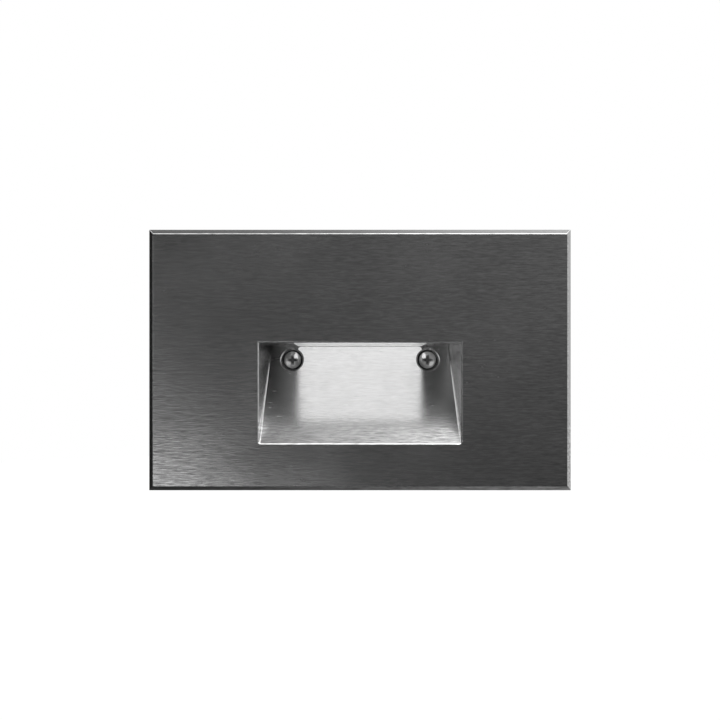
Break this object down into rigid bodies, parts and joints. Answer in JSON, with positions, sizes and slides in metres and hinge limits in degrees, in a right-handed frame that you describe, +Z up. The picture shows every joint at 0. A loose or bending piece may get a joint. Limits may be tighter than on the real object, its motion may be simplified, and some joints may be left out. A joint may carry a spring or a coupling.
{
  "type": "recessed step light",
  "caption": "Landscape wall plate with a lit scoop for a single-gang box: brushed plate, captive face screws, sealed housing with lens and driver behind.",
  "frame": {"origin": "on the wall plane, midway between the two box screws", "axes": "+X to the viewer's right along the plate's length, +Y into the wall, +Z up"},
  "size_m": [0.127, 0.0519, 0.0786],
  "materials": {
    "brushed_metal": "fine horizontal brushing under a dark clear finish",
    "gasket_foam": "closed-cell foam",
    "screw_steel": "bright stainless",
    "seal_rubber": "matt black",
    "nylon": "natural nylon",
    "housing_casting": "fine-textured dark coating on a die casting",
    "insert_brass": "knurled brass",
    "frosted_pane": "frosted acrylic",
    "frosted_glass": "frosted",
    "silicone": "translucent silicone",
    "white_plastic": "matt white",
    "white_board": "white solder mask on an aluminium board",
    "led_phosphor": "yellow phosphor in a white frame",
    "zinc_steel": "zinc plated",
    "thermal_silicone": "soft silicone pad",
    "plain_aluminium": "plain sheet",
    "lead_red": "insulated lead",
    "lead_black": "insulated lead",
    "circuit_board": "green solder mask",
    "capacitor_sleeve": "shrink sleeve",
    "film_yellow": "moulded case",
    "ferrite": "sintered ferrite",
    "copper_wire": "enamelled copper",
    "chip_plastic": "moulded epoxy",
    "varistor_blue": "dipped coating",
    "fuse_black": "moulded case",
    "terminal_green": "moulded polyamide",
    "earth_green": "green coated steel",
    "tinned_copper": "tin plated",
    "lead_green": "insulated lead",
    "insulation_card": "thin polyester sheet",
    "cover_metal": "fine-textured dark coating"
  },
  "bodies": {
    "housing": {"housing": "housing_casting", "thread_insert_left": "insert_brass", "thread_insert_right": "insert_brass", "lens": "frosted_glass", "lens_gasket": "silicone", "light_box": "white_plastic", "led_board": "white_board", "leds": "led_phosphor", "led_board_screws": "zinc_steel", "thermal_pad": "thermal_silicone", "led_bracket": "plain_aluminium", "led_bracket_screws": "zinc_steel", "led_lead_positive": "lead_red", "led_lead_negative": "lead_black", "driver_board": "circuit_board", "driver_board_screws": "zinc_steel", "bulk_capacitor": "capacitor_sleeve", "film_capacitor": "film_yellow", "inductor_core": "ferrite", "inductor_winding": "copper_wire", "bridge_rectifier": "chip_plastic", "driver_chip": "chip_plastic", "switching_transistor": "chip_plastic", "varistor": "varistor_blue", "fuse": "fuse_black", "terminal_block": "terminal_green", "terminal_screws": "zinc_steel", "terminal_clamps": "insert_brass", "earth_screw": "earth_green", "earth_lug": "tinned_copper", "earth_lead": "lead_green", "insulation_sheet": "insulation_card", "rear_cover": "cover_metal", "rear_cover_gasket": "seal_rubber", "rear_cover_screws": "zinc_steel", "supply_grommet": "seal_rubber"},
    "trim": {"faceplate": "brushed_metal", "window_pane": "frosted_pane", "wall_gasket": "gasket_foam"},
    "left_seal_carrier": {"screw_seal_left": "seal_rubber"},
    "left_screw": {"face_screw_left": "screw_steel", "screw_retainer_left": "nylon"},
    "right_seal_carrier": {"screw_seal_right": "seal_rubber"},
    "right_screw": {"face_screw_right": "screw_steel", "screw_retainer_right": "nylon"}
  },
  "joints": [
    {"name": "trim_lift", "type": "slide", "parent": "housing", "child": "trim", "axis": [0, -1, 0], "range_m": [0, 0.045]},
    {"name": "left_screw_travel", "type": "slide", "parent": "trim", "child": "left_seal_carrier", "axis": [0, -1, 0], "range_m": [0, 0.004]},
    {"name": "left_screw_turn", "type": "hinge", "parent": "left_seal_carrier", "child": "left_screw", "pos_m": [-0.022, 0.0221, 0], "axis": [0, -1, 0], "range_deg": [0, 2882]},
    {"name": "right_screw_travel", "type": "slide", "parent": "trim", "child": "right_seal_carrier", "axis": [0, -1, 0], "range_m": [0, 0.004]},
    {"name": "right_screw_turn", "type": "hinge", "parent": "right_seal_carrier", "child": "right_screw", "pos_m": [0.022, 0.0221, 0], "axis": [0, -1, 0], "range_deg": [0, 2882]}
  ],
  "couplings": [
    {"joint": "left_screw_turn", "follows": "left_screw_travel", "rad_per_m": 12566},
    {"joint": "right_screw_turn", "follows": "right_screw_travel", "rad_per_m": 12566}
  ]
}
